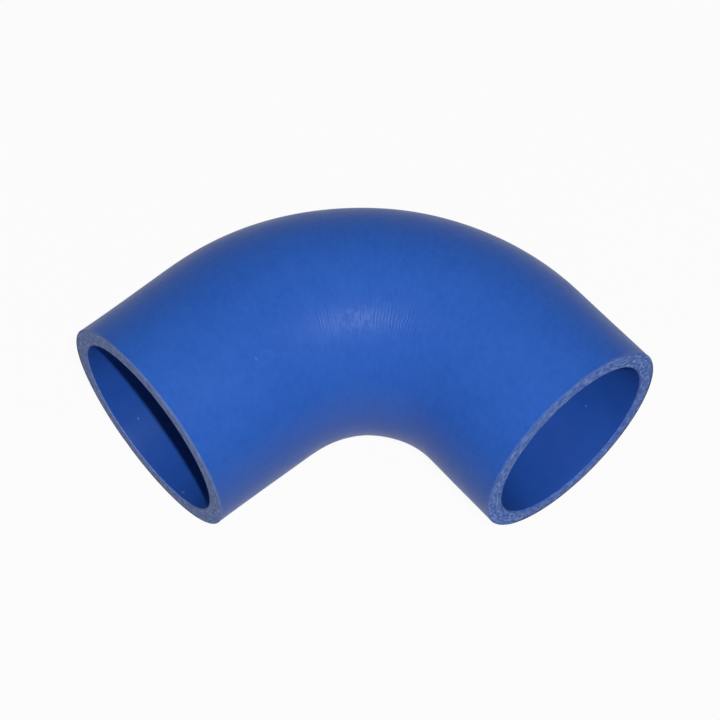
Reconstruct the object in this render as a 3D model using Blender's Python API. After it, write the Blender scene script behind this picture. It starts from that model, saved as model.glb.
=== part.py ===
"""An elbow hose for an engine bay: one moulded tube of fabric-reinforced silicone that turns a right angle.

Metres, +Z up. The hose lies on its side, so the bend is in the XY plane. Left and right are as seen
from the hollow of the bend: the left leg's cut end faces -Y, and the right leg's cut end faces +X.
The origin is on the surface that the hose lies on, under the middle of its box.
"""

import bmesh
import bpy
import math
from mathutils import Vector

# Section
BORE = 0.063  # inside diameter, for a 63 mm pipe
WALL = 0.006  # four plies of fabric in silicone

# Route: each leg is measured from its cut end to the corner where the two leg axes cross
LEFT_LEG = 0.099
RIGHT_LEG = 0.091
BEND_ANGLE = math.radians(90)
BEND_RADIUS = 0.060  # of the centreline, in the round part of the bend
LEFT_EASE = 0.013  # length in which the curve builds up from the left leg
RIGHT_EASE = 0.007  # length in which it dies away into the right leg

# Out of round: the hose was laid up by hand, so its width in the plane of the bend isn't quite even
SWELL = 0.0007  # added to the half-width where the round part begins
SWELL_REACH = 0.040  # how far the swelling runs each way from there
SQUEEZE = 0.0018  # taken off the half-width by the end of the bend

# Mesh
SIDES = 64
BEND_STEPS = 24
LEFT_STEPS = 4  # along the straight stretch of the left leg, where the swelling tapers off
RIGHT_STEPS = 2
FINE_STEPS = 40  # steps of the route's own sum between two sections
SHARP_EDGE = math.radians(40)

# Sizes that follow from those above
HALF_HEIGHT = BORE / 2 + WALL
BEND_LENGTH = BEND_RADIUS * BEND_ANGLE + (LEFT_EASE + RIGHT_EASE) / 2

# Look
SILICONE_BLUE = (0.030, 0.115, 0.500, 1.0)
SILICONE_ROUGHNESS = 0.5


def turned_after(distance):
    """The angle that the hose has turned through at this distance into the bend."""
    left_to_go = BEND_LENGTH - distance
    if distance <= 0:
        return 0.0
    if left_to_go <= 0:
        return BEND_ANGLE
    if distance < LEFT_EASE:
        return distance**2 / (2 * BEND_RADIUS * LEFT_EASE)
    if left_to_go < RIGHT_EASE:
        return BEND_ANGLE - left_to_go**2 / (2 * BEND_RADIUS * RIGHT_EASE)
    return (distance - LEFT_EASE / 2) / BEND_RADIUS


def along(turned):
    """The route's direction once it has turned this far: +Y up the left leg, then round towards +X."""
    return Vector((math.sin(turned), math.cos(turned), 0))


def bend_points():
    """The centreline at each section of the bend, from (0, 0) where the left leg's straight stretch ends."""
    step = BEND_LENGTH / (BEND_STEPS * FINE_STEPS)
    point = Vector((0, 0, 0))
    points = [point.copy()]
    for index in range(BEND_STEPS * FINE_STEPS):
        point += along(turned_after((index + 0.5) * step)) * step
        if (index + 1) % FINE_STEPS == 0:
            points.append(point.copy())
    return points


def straight_lengths(bend_end):
    """What each leg has left over for its straight stretch, once the bend has used its share."""
    right_share = bend_end.x / math.sin(BEND_ANGLE)
    left_share = bend_end.y - right_share * math.cos(BEND_ANGLE)
    corner_to_bend_end = (bend_end - Vector((0, left_share, 0))).length
    return LEFT_LEG - left_share, RIGHT_LEG - corner_to_bend_end


def stations():
    """(point on the centreline, distance into the bend) for each section, from the left end to the right."""
    points = bend_points()
    left_straight, right_straight = straight_lengths(points[-1])
    found = []
    for index in range(LEFT_STEPS):
        back = left_straight * (1 - index / LEFT_STEPS)
        found.append((points[0] - along(0) * back, -back))
    for index, point in enumerate(points):
        found.append((point, BEND_LENGTH * index / BEND_STEPS))
    for index in range(1, RIGHT_STEPS + 1):
        ahead = right_straight * index / RIGHT_STEPS
        found.append((points[-1] + along(BEND_ANGLE) * ahead, BEND_LENGTH + ahead))
    return found


def half_width(distance):
    """Half of the outside width in the plane of the bend, at this distance into the bend."""
    off_swell = min(abs(distance - LEFT_EASE) / SWELL_REACH, 1.0)
    swell = SWELL * math.cos(off_swell * math.pi / 2) ** 2
    squeeze = SQUEEZE * (turned_after(distance) / BEND_ANGLE) ** 2
    return HALF_HEIGHT + swell - squeeze


def section(mesh, point, distance, inset):
    """One closed ring of vertices: the outside of the hose, or its bore where inset is the wall."""
    direction = along(turned_after(distance))
    outwards = Vector((-direction.y, direction.x, 0))
    across = half_width(distance) - inset
    up = HALF_HEIGHT - inset
    ring = []
    for side in range(SIDES):
        angle = 2 * math.pi * side / SIDES
        offset = outwards * (across * math.cos(angle)) + Vector((0, 0, up * math.sin(angle)))
        ring.append(mesh.verts.new(point + offset))
    return ring


def skin(mesh, rings):
    """Faces between each ring and the next."""
    for first, second in zip(rings, rings[1:]):
        for side in range(SIDES):
            after = (side + 1) % SIDES
            mesh.faces.new((first[side], first[after], second[after], second[side]))


def centre_on_floor(mesh):
    """Moves the hose so that it lies on z = 0 with the middle of its box over the origin."""
    corners = [[pick(vert.co[axis] for vert in mesh.verts) for axis in range(3)] for pick in (min, max)]
    low, high = Vector(corners[0]), Vector(corners[1])
    middle = (low + high) / 2
    bmesh.ops.translate(mesh, verts=mesh.verts, vec=(-middle.x, -middle.y, -low.z))


def silicone():
    material = bpy.data.materials.new("blue_silicone")
    material.use_nodes = True
    shader = material.node_tree.nodes["Principled BSDF"]
    shader.inputs["Base Color"].default_value = SILICONE_BLUE
    shader.inputs["Roughness"].default_value = SILICONE_ROUGHNESS
    shader.inputs["Metallic"].default_value = 0.0
    return material


def elbow_hose():
    """The whole hose: an outer skin and a bore that meet in a flat ring at each cut end."""
    mesh = bmesh.new()
    route = stations()
    outside = [section(mesh, point, distance, 0) for point, distance in route]
    bore = [section(mesh, point, distance, WALL) for point, distance in route]
    skin(mesh, outside)
    skin(mesh, bore[::-1])
    skin(mesh, [bore[0], outside[0]])
    skin(mesh, [outside[-1], bore[-1]])
    bmesh.ops.recalc_face_normals(mesh, faces=mesh.faces)
    centre_on_floor(mesh)

    data = bpy.data.meshes.new("elbow_hose")
    mesh.to_mesh(data)
    mesh.free()
    data.shade_smooth()
    data.set_sharp_from_angle(angle=SHARP_EDGE)
    data.materials.append(silicone())
    hose = bpy.data.objects.new("elbow_hose", data)
    bpy.context.scene.collection.objects.link(hose)
    return hose


def main():
    for left_over in list(bpy.data.objects):
        bpy.data.objects.remove(left_over, do_unlink=True)
    elbow_hose()


main()
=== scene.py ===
"""Looks for the silicone elbow hose: a wrapped blue skin, a smooth bore and cut ends that show the plies.

Lengths are in metres, apart from those that say millimetres. The hose is built again along the same
route as its solid, with a closer mesh, and takes its place.

The materials work in the straightened hose, in millimetres: X runs along the centreline from the left
end, Y points away from the hollow of the bend, and Z points up from the centreline. Angles round the
hose start at Y and turn towards Z.
"""

import math

import bpy
import numpy as np
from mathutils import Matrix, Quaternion, Vector, noise

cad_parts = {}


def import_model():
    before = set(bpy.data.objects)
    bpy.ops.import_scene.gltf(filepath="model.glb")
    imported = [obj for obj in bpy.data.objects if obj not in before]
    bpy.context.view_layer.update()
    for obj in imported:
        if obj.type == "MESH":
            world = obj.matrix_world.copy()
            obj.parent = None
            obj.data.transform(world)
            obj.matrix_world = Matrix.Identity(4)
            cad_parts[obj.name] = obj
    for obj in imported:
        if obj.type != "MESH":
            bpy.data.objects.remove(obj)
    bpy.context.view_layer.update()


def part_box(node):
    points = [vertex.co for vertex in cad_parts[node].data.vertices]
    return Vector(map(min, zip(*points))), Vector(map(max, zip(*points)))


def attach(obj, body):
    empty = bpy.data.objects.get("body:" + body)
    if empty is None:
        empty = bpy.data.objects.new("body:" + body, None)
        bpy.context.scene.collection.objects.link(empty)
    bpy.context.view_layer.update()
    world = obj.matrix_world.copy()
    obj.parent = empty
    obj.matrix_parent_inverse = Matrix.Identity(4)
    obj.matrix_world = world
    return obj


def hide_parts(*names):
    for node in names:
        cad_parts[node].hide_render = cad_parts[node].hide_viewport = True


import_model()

MM = 0.001

# The hose's own sizes, which are those of the solid
BORE = 0.063
WALL = 0.006
LEFT_LEG = 0.099
RIGHT_LEG = 0.091
BEND_ANGLE = math.radians(90)
BEND_RADIUS = 0.060
LEFT_EASE = 0.013
RIGHT_EASE = 0.007
SWELL = 0.0007
SWELL_REACH = 0.040
SQUEEZE = 0.0018
HALF_HEIGHT = BORE / 2 + WALL
BEND_LENGTH = BEND_RADIUS * BEND_ANGLE + (LEFT_EASE + RIGHT_EASE) / 2

# Mesh
SIDES = 192
SKIN_STEP = 0.001  # between rings of the outer skin
BORE_STEP = 0.0025
CUT_STEPS = 14  # rings across each cut face
OUTER_RIM = 0.0006  # how round the edges of the cut ends are
INNER_RIM = 0.0004
RIM_STEPS = 5
ROUTE_STEP = 0.00005  # of the sum that finds the centreline
UP = np.array([0, 0, 1])

# Relief on the mesh
UNEVEN = 0.00022  # deepest hollow left by laying the plies up by hand
UNEVEN_SIZE = 0.026
PLY_RELIEF = 0.00007  # of the yarn in the cut faces
YARN_GRAIN = 0.0011
BED_RELIEF = 0.3  # of the plies, as a share of the yarn's

# Nick in the left end's outer edge
NICK_ANGLE = math.radians(296)
NICK_WIDTH = math.radians(2.4)
NICK_DEPTH = 0.00035
NICK_REACH = 0.002  # along the hose

# Heights of the bumps in the materials
TAPE_MARK = 0.00008
SKIN_GRAIN = 0.000012
DRAWN_MARK = 0.00002
YARN_BUMP = 0.00012

# Parts of a noise's range, round its middle at 0.5: the narrower, the harder the edges of its patches
WIDE = (0.25, 0.75)
MEDIUM = (0.3, 0.7)
NARROW = (0.35, 0.65)

# Marks of the wrapping tape, which run round the hose, in millimetres along it. Each pair leads from
# where the marks are as faint as on the leg to where they are full.
TAPE_PITCH = 1.5
TAPE_SWAY = 1.4  # how far a mark wanders, in radians of its pitch
TAPE_START = (52, 76)
TAPE_END = (125, 92)
TAPE_ON_LEGS = 0.35  # share of the marks that is left there
TAPE_FAINTEST = 0.3  # share of a mark's height where the tape pressed least

# Wear, dust and painted shade, in millimetres: none at the first value of each reach, and full from the
# second
WORN_REACH = (1.2, 0)  # from the cut
WORN_STRETCH = (0.5, 1.3)  # how much less and more the wear reaches in places
# Painted shade: darker along the lower outer edges of the cut ends, on the skin and the cut faces, where the
# rounded edge turns from the lamp
SHADE_REACH = (1.2, 0.3)  # from the cut, on the skin
SHADE_DEPTH = (1.7, 0.7)  # on the cut faces, below the skin
SHADE_HEIGHT = (17, -2)  # above the centreline
SHADE_SIDE = (-28, -17)  # away from the hollow of the bend
CUT_DUST_ALONG = (100, 50)  # so that only the left end has it

# Painted reflection: a paler haze low on the inner side, where the white floor would show at a grazing angle,
# and the way towards it, which is 1 at the skin
HAZE_ANGLE = math.radians(205)
TO_HAZE = (0, math.cos(HAZE_ANGLE) * MM / HALF_HEIGHT, math.sin(HAZE_ANGLE) * MM / HALF_HEIGHT)
HAZE_SPAN = (0.55, 0.95)  # how far along it the film begins and is full

# Plies, from the outer skin inwards, in millimetres
COVER = 0.35
PLY = 1.33
PLY_COUNT = 4
LINER = COVER + PLY * PLY_COUNT
COVER_FADE = (COVER - 0.2, COVER + 0.15)
LINER_FADE = (LINER + 0.15, LINER - 0.15)
PLY_WAVE = 0.25  # how far the plies wander
BETWEEN_PLIES = (0.16, 0.03)  # shares of a ply from the line between two, which is full at the second
LINE_DEPTH = (2.5, 5.0)  # the lines show more towards the bore
YARN_PITCH = 2.5  # between yarn ends round the hose
YARN_ROWS = 0.85 * PLY
YARN_END = (0.62, 0.12)  # from its middle, in cells: its edge, and where it is full
YARN_SCATTER = 0.85  # how far from an even grid the ends are
CELL_TONES = (0.1, 0.9)  # range of a cell's own tone, which makes its end paler or darker
YARN_TONES = (0.2, 0.8)
LYING_YARN = (0.46, 0.70)  # part of a noise's range where yarn that lies along the cut comes in
LYING_SHARE = 0.9
SPARSE_YARN = 0.45  # share of the yarn's paleness where there is least of it
FUZZ = (-0.04, 0.06)  # what single threads add to that paleness
OUTSIDE_PLIES = 0.35  # share of it in the cover and the liner
DEEP = 40  # longer than the cut's relief, so that a grain looks the same all through it

# Specks: millimetres from the left end, angle, and half the length along and round the hose in millimetres
BORE_SPECKS = (
    (6.8, math.radians(-55.3), 0.6, 0.6),
    (2.0, math.radians(-112.4), 0.9, 0.6),
    (150.2, math.radians(-42.7), 0.6, 0.6),
)
PALE_SKIN_SPECKS = ((31.5, math.radians(119.5), 0.45, 1.0),)
DARK_SKIN_SPECKS = ((51.5, math.radians(137.8), 0.4, 0.4), (51.0, math.radians(100.3), 0.5, 0.4))
SPECK_EDGE = (1.0, 0.3)  # of its half size: where it ends, and from where inwards it is full

# Colours of the outer skin
SKIN_DEEP = (0.0205, 0.100, 0.450, 1)
SKIN_BLUE = (0.0260, 0.114, 0.485, 1)
SKIN_CLOUD = (0.0215, 0.098, 0.455, 1)
SKIN_BLOTCH = (0.0295, 0.124, 0.510, 1)
TAPE_RIDGE = (0.0295, 0.122, 0.505, 1)
WORN_EDGE = (0.100, 0.170, 0.420, 1)
# Painted reflection: paler haze low on the inner side
PAINTED_HAZE = (0.120, 0.165, 0.450, 1)
# Painted shade along the lower outer edges of the cut ends
PAINTED_SHADE = (0.040, 0.044, 0.100, 1)
PALE_SPECK = (0.09, 0.24, 0.72, 1)
DARK_SPECK = (0.01, 0.06, 0.25, 1)

# Colours of the bore
BORE_DEEP = (0.0150, 0.070, 0.345, 1)
BORE_BLUE = (0.0180, 0.079, 0.375, 1)
BORE_SPECK = (0.10, 0.24, 0.66, 1)

# Colours of the cut faces
BED_DEEP = (0.063, 0.135, 0.480, 1)
BED_BLUE = (0.083, 0.169, 0.565, 1)
YARN_VIOLET = (0.410, 0.530, 0.970, 1)
YARN_CYAN = (0.270, 0.565, 0.900, 1)
PLY_LINE = (0.078, 0.095, 0.365, 1)
CUT_DUST = (0.48, 0.465, 0.36, 1)

# Shares of the colours that lie over others
CLOUD_SHARE = 0.6
BLOTCH_SHARE = 0.6
TAPE_SHARE = 0.10
WORN_SHARE = 0.6
HAZE_SHARE = 0.25
# Shares of the painted shade, on the skin and on the cut faces
SKIN_SHADE = 0.8
CUT_SHADE = 0.9
PALE_SPECK_SHARE = 0.4
DARK_SPECK_SHARE = 0.3
BORE_SPECK_SHARE = 0.5
LINE_SHARES = (0.35, 0.75)  # at the two values of LINE_DEPTH
CUT_DUST_SHARE = 0.18

# Roughness, from its lowest to its highest, and the shader's specular level
SKIN_ROUGHNESS = (0.345, 0.405)
SKIN_GLOSS = 0.077
BORE_ROUGHNESS = (0.42, 0.52)
BORE_GLOSS = 0.10
CUT_ROUGHNESS = (0.60, 0.85)
CUT_GLOSS = 0.12

# Camera
AIM = Vector((-0.0017, 0.0002, HALF_HEIGHT))
AZIMUTH = math.radians(50.55)  # 0 looks along +Y, and 90 along -X
ELEVATION = math.radians(59.25)
DISTANCE = 0.6792
ROLL = math.radians(1.05)
LENS = 105.09
SENSOR = 36.0
NEAREST = 0.01  # that the camera sees
FARTHEST = 20

# Light
KEY_DIRECTION = Vector((0.424, -0.254, 0.869))
KEY_DISTANCE = 0.8
KEY_SIZE = 0.019
KEY_LEVEL = 0.80  # share of a white surface's full brightness, facing the lamp
WORLD_FRONT = 0.19  # the same for the soft light, which comes mostly from the lamp's side
WORLD_BACK = 0.07
WORLD_SPAN = (-0.4, 1.0)  # cosines of the angle from the lamp's direction, from the back to the front
FLOOR_GREY = 0.45
FLOOR_HALF = 4.0
FLOOR_WHITENED = 0.95  # how much of the floor near the hose is plain white to the camera and to reflections
FLOOR_NEAR = 0.15  # from here outwards the floor grows whiter
FLOOR_FAR = 0.9  # and from here it is all white

# Finishes
SKIN, INSIDE, CUT = range(3)

# A Mix node's sockets for colours, which have the same names as its sockets for numbers
MIX_FIRST, MIX_SECOND, MIX_RESULT = 6, 7, 2


def turned_after(distance):
    """The angle that the hose has turned through at these distances into the bend."""
    easing_in = distance**2 / (2 * BEND_RADIUS * LEFT_EASE)
    steady = (distance - LEFT_EASE / 2) / BEND_RADIUS
    easing_out = BEND_ANGLE - (BEND_LENGTH - distance) ** 2 / (2 * BEND_RADIUS * RIGHT_EASE)
    cases = [distance <= 0, distance < LEFT_EASE, distance < BEND_LENGTH - RIGHT_EASE, distance < BEND_LENGTH]
    return np.select(cases, [0 * distance, easing_in, steady, easing_out], BEND_ANGLE)


def half_width(distance):
    """Half of the outside width in the plane of the bend, at these distances into the bend."""
    off_swell = np.minimum(abs(distance - LEFT_EASE) / SWELL_REACH, 1)
    squeeze = SQUEEZE * (turned_after(distance) / BEND_ANGLE) ** 2
    return HALF_HEIGHT + SWELL * np.cos(off_swell * math.pi / 2) ** 2 - squeeze


def along(turned):
    """The route's direction once it has turned this far."""
    return np.stack([np.sin(turned), np.cos(turned), 0 * turned], axis=-1)


class Route:
    """The centreline, placed in the frame by the box of the solid."""

    def __init__(self):
        steps = round(BEND_LENGTH / ROUTE_STEP)
        middles = (np.arange(steps) + 0.5) * BEND_LENGTH / steps
        self.knots = np.linspace(0, BEND_LENGTH, steps + 1)
        moves = along(turned_after(middles)) * BEND_LENGTH / steps
        self.points = np.vstack([np.zeros(3), np.cumsum(moves, axis=0)])
        bend_end = self.points[-1]
        self.start = bend_end[1] - LEFT_LEG
        self.end = BEND_LENGTH + RIGHT_LEG - bend_end[0]
        low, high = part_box("elbow_hose")
        left_end = self.at(np.array([self.start]))[0]
        right_end = self.at(np.array([self.end]))[0]
        shift = (high.x - right_end[0], low.y - left_end[1], (low.z + high.z) / 2)
        self.points = self.points + shift

    def at(self, distance):
        """Points on the centreline."""
        inside = np.clip(distance, 0, BEND_LENGTH)
        axes = [np.interp(inside, self.knots, self.points[:, axis]) for axis in range(3)]
        on_bend = np.stack(axes, axis=-1)
        return on_bend + along(turned_after(distance)) * (distance - inside)[..., None]


def wall_rings(route):
    """(distance, depth below the skin, finish of the strip to the next ring) for each ring round the wall."""
    quarter = np.linspace(0, math.pi / 2, RIM_STEPS + 1)
    back, down = 1 - np.sin(quarter), 1 - np.cos(quarter)  # from the skin round to the cut face
    first, last = route.start + OUTER_RIM, route.end - OUTER_RIM
    skin = np.linspace(first, last, round((last - first) / SKIN_STEP) + 1)
    first, last = route.start + INNER_RIM, route.end - INNER_RIM
    bore = np.linspace(last, first, round((last - first) / BORE_STEP) + 1)
    across = np.linspace(OUTER_RIM, WALL - INNER_RIM, CUT_STEPS + 1)
    outer = list(zip(OUTER_RIM * back, OUTER_RIM * down))
    inner = list(zip(INNER_RIM * back, WALL - INNER_RIM * down))
    rings = [(distance, 0.0, SKIN) for distance in skin[:-1]]
    rings += [(route.end - out, depth, SKIN if depth < out else CUT) for out, depth in outer[:-1]]
    rings += [(route.end, depth, CUT) for depth in across[:-1]]
    rings += [(route.end - out, depth, CUT) for out, depth in inner[:0:-1]]
    rings += [(distance, WALL, INSIDE) for distance in bore[:-1]]
    rings += [(route.start + out, depth, CUT) for out, depth in inner[:-1]]
    rings += [(route.start, depth, CUT) for depth in across[:0:-1]]
    rings += [(route.start + out, depth, CUT if out < depth else SKIN) for out, depth in outer[:0:-1]]
    return rings


def skin_relief(spot):
    """How far the skin stands out at this spot of the straightened hose: never above the true size."""
    return UNEVEN * (noise.noise(Vector(spot) / UNEVEN_SIZE) - 1) / 2


def nick(from_end, angle):
    """How far the outer edge is pushed in at this distance from the left end and this angle."""
    off = (angle - NICK_ANGLE) / NICK_WIDTH
    return NICK_DEPTH * math.exp(-off * off) * max(1 - from_end / NICK_REACH, 0)


def cut_relief(spot, depth):
    """How far a cut face stands out: the yarn ends are a little proud of the silicone."""
    bed = math.sin((depth / MM - COVER) / PLY * 2 * math.pi)
    yarn = noise.noise(Vector(spot) / YARN_GRAIN)
    return PLY_RELIEF * (BED_RELIEF * bed + yarn)


def hose_mesh():
    """One closed skin: rings of vertices round the wall's section, from the outside through both ends."""
    route = Route()
    rings = wall_rings(route)
    distance = np.array([ring[0] for ring in rings])
    depth = np.array([ring[1] for ring in rings])
    finish = np.array([ring[2] for ring in rings])
    angle = np.arange(SIDES) * 2 * math.pi / SIDES
    cosine, sine = np.cos(angle), np.sin(angle)

    turned = turned_after(distance)
    outwards = np.stack([-np.cos(turned), np.sin(turned), 0 * turned], axis=-1)
    direction = along(turned)
    across = half_width(distance) - depth
    up = HALF_HEIGHT - depth
    centre = route.at(distance)
    radial = outwards[:, None] * cosine[None, :, None] + UP * sine[None, :, None]
    spots = (
        centre[:, None]
        + outwards[:, None] * (across[:, None] * cosine)[..., None]
        + UP * (up[:, None] * sine)[..., None]
    )
    from_left = np.repeat((distance - route.start)[:, None], SIDES, axis=1)
    straight = np.stack([from_left, up[:, None] * cosine, up[:, None] * sine], axis=-1)
    for ring in range(len(rings)):
        at_cut = min(distance[ring] - route.start, route.end - distance[ring]) < INNER_RIM / 2
        way = 1 if distance[ring] > 0 else -1
        for side in range(SIDES):
            if depth[ring] == 0:
                spots[ring, side] += radial[ring, side] * skin_relief(straight[ring, side])
            if depth[ring] <= OUTER_RIM:
                spots[ring, side] -= radial[ring, side] * nick(distance[ring] - route.start, angle[side])
            if at_cut and OUTER_RIM < depth[ring] < WALL - INNER_RIM:
                spots[ring, side] += direction[ring] * way * cut_relief(straight[ring, side], depth[ring])

    number = np.arange(len(rings) * SIDES).reshape(-1, SIDES)
    after = np.roll(number, -1, axis=0)
    corners = [number, after, np.roll(after, -1, axis=1), np.roll(number, -1, axis=1)]
    faces = np.stack(corners, axis=-1).reshape(-1, 4)
    mesh = bpy.data.meshes.new("hose_wall")
    mesh.from_pydata(spots.reshape(-1, 3).tolist(), [], faces.tolist())
    mesh.polygons.foreach_set("material_index", np.repeat(finish, SIDES).astype(np.int32))
    straight_attribute = mesh.attributes.new("straight_mm", "FLOAT_VECTOR", "POINT")
    straight_attribute.data.foreach_set("vector", (straight / MM).astype(np.float32).ravel())
    from_cut = np.minimum(distance - route.start, route.end - distance)
    for name, values in (("depth_mm", depth), ("from_cut_mm", from_cut)):
        attribute = mesh.attributes.new(name, "FLOAT", "POINT")
        attribute.data.foreach_set("value", np.repeat(values / MM, SIDES).astype(np.float32))
    mesh.update()
    mesh.shade_smooth()
    return mesh


class Nodes:
    """A tree of shader nodes. Each method but give adds to it, and gives back the output of what it adds."""

    def __init__(self, tree):
        self.tree = tree

    def give(self, socket, value):
        """Sets a socket, or links an output to it."""
        if isinstance(value, bpy.types.NodeSocket):
            self.tree.links.new(value, socket)
        else:
            socket.default_value = value

    def node(self, kind, inputs, **settings):
        """A new node of this kind, and not its output."""
        made = self.tree.nodes.new("ShaderNode" + kind)
        for name, value in settings.items():
            setattr(made, name, value)
        for name, value in inputs.items():
            self.give(made.inputs[name], value)
        return made

    def calculate(self, operation, first, second=0.0, third=0.0):
        return self.node("Math", {0: first, 1: second, 2: third}, operation=operation).outputs[0]

    def product(self, first, second):
        return self.calculate("MULTIPLY", first, second)

    def fit(self, value, low, high, to_low=0.0, to_high=1.0, smooth=False):
        """The value carried from the range low to high over to another range, and held at its ends."""
        inputs = {"Value": value, "From Min": low, "From Max": high, "To Min": to_low, "To Max": to_high}
        kind = "SMOOTHSTEP" if smooth else "LINEAR"
        return self.node("MapRange", inputs, interpolation_type=kind).outputs["Result"]

    def seen_directly(self):
        """1 for rays from the camera, from a reflection or through glass, and 0 for light on its way."""
        path = self.node("LightPath", {})
        total = path.outputs["Is Camera Ray"]
        for name in ("Is Glossy Ray", "Is Transmission Ray"):
            total = self.calculate("MAXIMUM", total, path.outputs[name])
        return total


class Look(Nodes):
    """A material, with what the surfaces of the hose have in common."""

    def __init__(self, name):
        self.material = bpy.data.materials.new(name)
        self.material.use_nodes = True
        super().__init__(self.material.node_tree)
        self.shader = self.tree.nodes["Principled BSDF"]

    def set(self, **inputs):
        for name, value in inputs.items():
            self.give(self.shader.inputs[name.replace("_", " ")], value)

    def attribute(self, name, output):
        return self.node("Attribute", {}, attribute_name=name).outputs[output]

    def stretched(self, vector, sizes, offset=(0, 0, 0)):
        """The coordinates with each axis measured in its own size, which makes noise with grains of those
        sizes. The offset leads to another part of the noise.
        """
        scaled = self.node("VectorMath", {0: vector, 1: [1 / size for size in sizes]}, operation="MULTIPLY")
        return self.node("VectorMath", {0: scaled.outputs[0], 1: offset}, operation="ADD").outputs[0]

    def noise(self, vector, detail=2.0, roughness=0.5):
        inputs = {"Vector": vector, "Scale": 1.0, "Detail": detail, "Roughness": roughness}
        return self.node("TexNoise", inputs).outputs["Fac"]

    def blend(self, share, first, second):
        """A colour this share of the way from the first to the second."""
        inputs = {"Factor": share, MIX_FIRST: first, MIX_SECOND: second}
        return self.node("Mix", inputs, data_type="RGBA").outputs[MIX_RESULT]

    def speck(self, place, radius, distance, angle, half_along, half_round):
        """1 in a small spot at this distance and angle on a wall of this radius, and 0 away from it."""
        middle = (distance, radius / MM * math.cos(angle), radius / MM * math.sin(angle))
        offset = self.node("VectorMath", {0: place, 1: middle}, operation="SUBTRACT").outputs[0]
        scaled = self.stretched(offset, (half_along, half_round, half_round))
        away = self.node("VectorMath", {0: scaled}, operation="LENGTH").outputs["Value"]
        return self.fit(away, *SPECK_EDGE, smooth=True)

    def with_specks(self, base, place, radius, specks, share, colour):
        """The base colour, with this share of another where the specks are."""
        for speck in specks:
            base = self.blend(self.product(self.speck(place, radius, *speck), share), base, colour)
        return base

    def painted_shade_side(self, parts, share):
        """Painted shade: this share low on the hose, apart from its inner side, and 0 elsewhere."""
        low = self.fit(parts.outputs["Z"], *SHADE_HEIGHT, to_high=share, smooth=True)
        outer = self.fit(parts.outputs["Y"], *SHADE_SIDE, smooth=True)
        return self.product(low, outer)

    def bump(self, height, distance, under=None):
        """A normal for a relief of this height, on top of another bump if one is given."""
        inputs = {"Height": height, "Distance": distance, "Strength": 1.0}
        if under is not None:
            inputs["Normal"] = under
        return self.node("Bump", inputs).outputs["Normal"]


def wrapped_silicone():
    """The outer skin: satin silicone, with the fine marks that the wrapping tape left as the hose was cured.

    Its cut edges are worn, with shade painted darker along their lower outer side, and it has a paler haze
    painted low on one side in place of a reflection, and a few specks.
    """
    look = Look("wrapped_silicone")
    place = look.attribute("straight_mm", "Vector")
    from_cut = look.attribute("from_cut_mm", "Fac")
    parts = look.node("SeparateXYZ", {"Vector": place})
    from_left = parts.outputs["X"]

    mottle = look.noise(look.stretched(place, (7, 7, 7)), detail=3.0)
    cloud = look.noise(look.stretched(place, (26, 26, 26), (5, 2, 8)))
    blotch = look.noise(look.stretched(place, (1.6, 2.4, 2.4), (4, 4, 7)))
    sway = look.noise(look.stretched(place, (5, 3, 3), (3, 9, 4)))
    dashes = look.noise(look.stretched(place, (2.2, 2.6, 2.6), (6, 2, 7)), detail=1.0)
    patches = look.noise(look.stretched(place, (7, 7, 7), (1, 6, 2)))
    grain = look.noise(look.stretched(place, (0.35, 0.5, 0.5)))
    smear = look.noise(look.stretched(place, (30, 2.5, 2.5), (8, 8, 1)))

    starting = look.fit(from_left, *TAPE_START, to_low=TAPE_ON_LEGS, smooth=True)
    ending = look.fit(from_left, *TAPE_END, to_low=TAPE_ON_LEGS, smooth=True)
    wander = look.fit(sway, *WIDE, -TAPE_SWAY, TAPE_SWAY)
    turn = look.calculate("MULTIPLY_ADD", from_left, 2 * math.pi / TAPE_PITCH, wander)
    tape = look.product(look.fit(look.calculate("SINE", turn), -1, 1), look.product(starting, ending))
    firm = look.fit(patches, *WIDE, to_low=TAPE_FAINTEST, smooth=True)
    broken = look.product(look.fit(dashes, *MEDIUM, smooth=True), firm)

    base = look.blend(look.fit(mottle, *MEDIUM), SKIN_DEEP, SKIN_BLUE)
    base = look.blend(look.fit(cloud, *NARROW, to_high=CLOUD_SHARE), base, SKIN_CLOUD)
    base = look.blend(look.fit(blotch, *MEDIUM, to_high=BLOTCH_SHARE), base, SKIN_BLOTCH)
    base = look.blend(look.product(tape, TAPE_SHARE), base, TAPE_RIDGE)
    uneven = look.calculate("DIVIDE", from_cut, look.fit(smear, *MEDIUM, *WORN_STRETCH))
    worn = look.fit(uneven, *WORN_REACH, to_high=WORN_SHARE, smooth=True)
    base = look.blend(worn, base, WORN_EDGE)
    # Painted reflection: a paler haze low on the inner side
    towards = look.node("VectorMath", {0: place, 1: TO_HAZE}, operation="DOT_PRODUCT").outputs["Value"]
    base = look.blend(look.fit(towards, *HAZE_SPAN, to_high=HAZE_SHARE, smooth=True), base, PAINTED_HAZE)
    # Painted shade: darker along the lower outer edge next to each cut
    painted_shade = look.product(look.fit(from_cut, *SHADE_REACH), look.painted_shade_side(parts, SKIN_SHADE))
    base = look.blend(painted_shade, base, PAINTED_SHADE)
    base = look.with_specks(base, place, HALF_HEIGHT, PALE_SKIN_SPECKS, PALE_SPECK_SHARE, PALE_SPECK)
    base = look.with_specks(base, place, HALF_HEIGHT, DARK_SKIN_SPECKS, DARK_SPECK_SHARE, DARK_SPECK)

    marks = look.bump(look.product(tape, broken), TAPE_MARK)
    look.set(Base_Color=base, Roughness=look.fit(mottle, *MEDIUM, *SKIN_ROUGHNESS))
    look.set(Specular_IOR_Level=SKIN_GLOSS, Normal=look.bump(grain, SKIN_GRAIN, under=marks))
    return look.material


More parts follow.
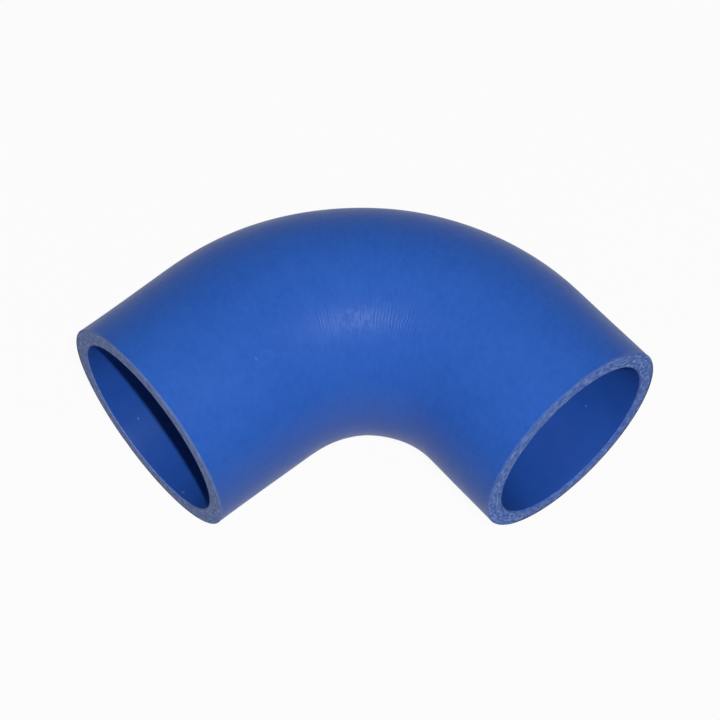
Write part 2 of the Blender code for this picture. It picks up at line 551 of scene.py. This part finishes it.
def smooth_liner():
    """The bore: silicone cured against a polished former, with faint marks along it and a few specks."""
    look = Look("smooth_liner")
    place = look.attribute("straight_mm", "Vector")
    mottle = look.noise(look.stretched(place, (12, 8, 8)), detail=3.0)
    drawn = look.noise(look.stretched(place, (18, 0.8, 0.8), (2, 2, 2)))
    base = look.blend(look.fit(mottle, *MEDIUM), BORE_DEEP, BORE_BLUE)
    base = look.with_specks(base, place, BORE / 2, BORE_SPECKS, BORE_SPECK_SHARE, BORE_SPECK)
    look.set(Base_Color=base, Roughness=look.fit(drawn, *MEDIUM, *BORE_ROUGHNESS))
    look.set(Specular_IOR_Level=BORE_GLOSS, Normal=look.bump(drawn, DRAWN_MARK))
    return look.material


def cut_plies():
    """A cut face: four plies of yarn bedded in silicone, between the cover and the liner."""
    look = Look("cut_plies")
    place = look.attribute("straight_mm", "Vector")
    depth = look.attribute("depth_mm", "Fac")
    parts = look.node("SeparateXYZ", {"Vector": place})
    angle = look.calculate("ARCTAN2", parts.outputs["Z"], parts.outputs["Y"])
    arc = look.product(angle, (HALF_HEIGHT - WALL / 2) / MM)
    wobble = look.noise(look.stretched(place, (5, 5, 5)))
    wavy = look.calculate("ADD", depth, look.fit(wobble, *MEDIUM, -PLY_WAVE, PLY_WAVE))
    rows = look.node("CombineXYZ", {"X": arc, "Y": wavy, "Z": parts.outputs["X"]}).outputs[0]
    below_cover = look.fit(depth, *COVER_FADE, smooth=True)
    above_liner = look.fit(depth, *LINER_FADE, smooth=True)
    in_plies = look.product(below_cover, above_liner)
    ply = look.calculate("DIVIDE", look.calculate("SUBTRACT", wavy, COVER), PLY)
    between = look.fit(look.calculate("PINGPONG", ply, 0.5), *BETWEEN_PLIES, smooth=True)

    cells = look.stretched(rows, (YARN_PITCH, YARN_ROWS, DEEP))
    ends = look.node("TexVoronoi", {"Vector": cells, "Scale": 1.0, "Randomness": YARN_SCATTER})
    tone = look.node("SeparateColor", {"Color": ends.outputs["Color"]}).outputs["Red"]
    full = look.fit(ends.outputs["Distance"], *YARN_END, smooth=True)
    end_on = look.product(full, look.fit(tone, *CELL_TONES, *YARN_TONES))
    lying = look.noise(look.stretched(rows, (2.2, 0.9, DEEP), (2, 7, 0)), detail=1.0)
    fuzz = look.noise(look.stretched(place, (0.25, 0.25, 0.25)), roughness=0.6)
    patches = look.noise(look.stretched(rows, (3.5, 2.2, DEEP), (4, 1, 0)), detail=1.0)
    tint = look.noise(look.stretched(rows, (2.5, 1.8, DEEP), (9, 3, 0)), detail=1.0)

    yarn = look.calculate("MAXIMUM", end_on, look.fit(lying, *LYING_YARN, to_high=LYING_SHARE))
    yarn = look.product(yarn, look.fit(patches, *NARROW, to_low=SPARSE_YARN))
    yarn = look.calculate("ADD", yarn, look.fit(fuzz, *MEDIUM, *FUZZ))
    yarn = look.product(yarn, look.fit(in_plies, 0, 1, to_low=OUTSIDE_PLIES))
    bed = look.blend(look.fit(patches, *NARROW), BED_DEEP, BED_BLUE)
    pale = look.blend(look.fit(tint, *NARROW), YARN_VIOLET, YARN_CYAN)
    base = look.blend(yarn, bed, pale)
    line = look.product(between, look.fit(depth, *LINE_DEPTH, *LINE_SHARES))
    base = look.blend(line, base, PLY_LINE)
    dust = look.fit(parts.outputs["X"], *CUT_DUST_ALONG, to_high=CUT_DUST_SHARE)
    base = look.blend(dust, base, CUT_DUST)
    # Painted shade: darker along the lower outer edge of the cut face
    painted_shade = look.product(look.fit(depth, *SHADE_DEPTH, smooth=True), look.painted_shade_side(parts, CUT_SHADE))
    base = look.blend(painted_shade, base, PAINTED_SHADE)
    look.set(Base_Color=base, Roughness=look.fit(fuzz, *MEDIUM, *CUT_ROUGHNESS))
    look.set(Specular_IOR_Level=CUT_GLOSS, Normal=look.bump(yarn, YARN_BUMP))
    return look.material


def hose_wall():
    """The hose itself, in place of the solid."""
    mesh = hose_mesh()
    for material in (wrapped_silicone(), smooth_liner(), cut_plies()):
        mesh.materials.append(material)
    piece = bpy.data.objects.new("hose_wall", mesh)
    bpy.context.scene.collection.objects.link(piece)
    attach(piece, "root")
    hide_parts("elbow_hose")


def floor():
    """A plain pale floor that fades to white on all sides and keeps the hose's shadow."""
    mesh = bpy.data.meshes.new("floor")
    corners = [(FLOOR_HALF * x, FLOOR_HALF * y, 0) for x, y in ((-1, -1), (1, -1), (1, 1), (-1, 1))]
    mesh.from_pydata(corners, [], [(0, 1, 2, 3)])
    material = bpy.data.materials.new("pale_floor")
    material.use_nodes = True
    nodes = Nodes(material.node_tree)
    nodes.tree.nodes.remove(nodes.tree.nodes["Principled BSDF"])
    diffuse = nodes.node("BsdfDiffuse", {"Color": (FLOOR_GREY, FLOOR_GREY, FLOOR_GREY, 1)})
    white = nodes.node("Emission", {})
    place = nodes.node("TexCoord", {}).outputs["Object"]
    away = nodes.node("VectorMath", {0: place}, operation="LENGTH").outputs["Value"]
    whiteness = nodes.fit(away, FLOOR_NEAR, FLOOR_FAR, to_low=FLOOR_WHITENED, smooth=True)
    share = nodes.product(nodes.seen_directly(), whiteness)
    mixed = nodes.node("MixShader", {"Fac": share, 1: diffuse.outputs[0], 2: white.outputs[0]})
    nodes.give(nodes.tree.nodes["Material Output"].inputs["Surface"], mixed.outputs[0])
    mesh.materials.append(material)
    plane = bpy.data.objects.new("floor", mesh)
    bpy.context.scene.collection.objects.link(plane)


def world():
    """Soft light, mostly from the lamp's side, which shows as white behind the hose."""
    made = bpy.data.worlds.new("studio")
    made.use_nodes = True
    nodes = Nodes(made.node_tree)
    direction = nodes.node("TexCoord", {}).outputs["Generated"]
    inputs = {0: direction, 1: KEY_DIRECTION.normalized()}
    facing = nodes.node("VectorMath", inputs, operation="DOT_PRODUCT").outputs["Value"]
    soft = nodes.fit(facing, *WORLD_SPAN, WORLD_BACK, WORLD_FRONT, smooth=True)
    level = nodes.node("Mix", {"Factor": nodes.seen_directly(), "A": soft, "B": 1.0}).outputs["Result"]
    background = nodes.tree.nodes["Background"]
    nodes.give(background.inputs["Color"], (1, 1, 1, 1))
    nodes.give(background.inputs["Strength"], level)
    bpy.context.scene.world = made


def key_lamp():
    """A round lamp that lights a white surface facing it to KEY_LEVEL of full brightness."""
    light = bpy.data.lights.new("key", "AREA")
    light.shape = "DISK"
    light.size = KEY_SIZE
    light.energy = KEY_LEVEL * (math.pi * KEY_DISTANCE) ** 2
    lamp = bpy.data.objects.new("key", light)
    lamp.location = AIM + KEY_DIRECTION.normalized() * KEY_DISTANCE
    lamp.rotation_mode = "QUATERNION"
    lamp.rotation_quaternion = (-KEY_DIRECTION).to_track_quat("-Z", "Y")
    bpy.context.scene.collection.objects.link(lamp)


def camera():
    """A camera at the photograph's viewing angle."""
    flat = math.cos(ELEVATION)
    back = Vector((math.sin(AZIMUTH) * flat, -math.cos(AZIMUTH) * flat, math.sin(ELEVATION)))
    data = bpy.data.cameras.new("camera")
    data.sensor_width = SENSOR
    data.lens = LENS
    data.clip_start = NEAREST
    data.clip_end = FARTHEST
    made = bpy.data.objects.new("camera", data)
    made.location = AIM + back * DISTANCE
    made.rotation_mode = "QUATERNION"
    made.rotation_quaternion = (-back).to_track_quat("-Z", "Y") @ Quaternion((0, 0, 1), -ROLL)
    bpy.context.scene.collection.objects.link(made)
    bpy.context.scene.camera = made


camera()
hose_wall()
floor()
world()
key_lamp()
bpy.context.scene.view_settings.view_transform = "Standard"
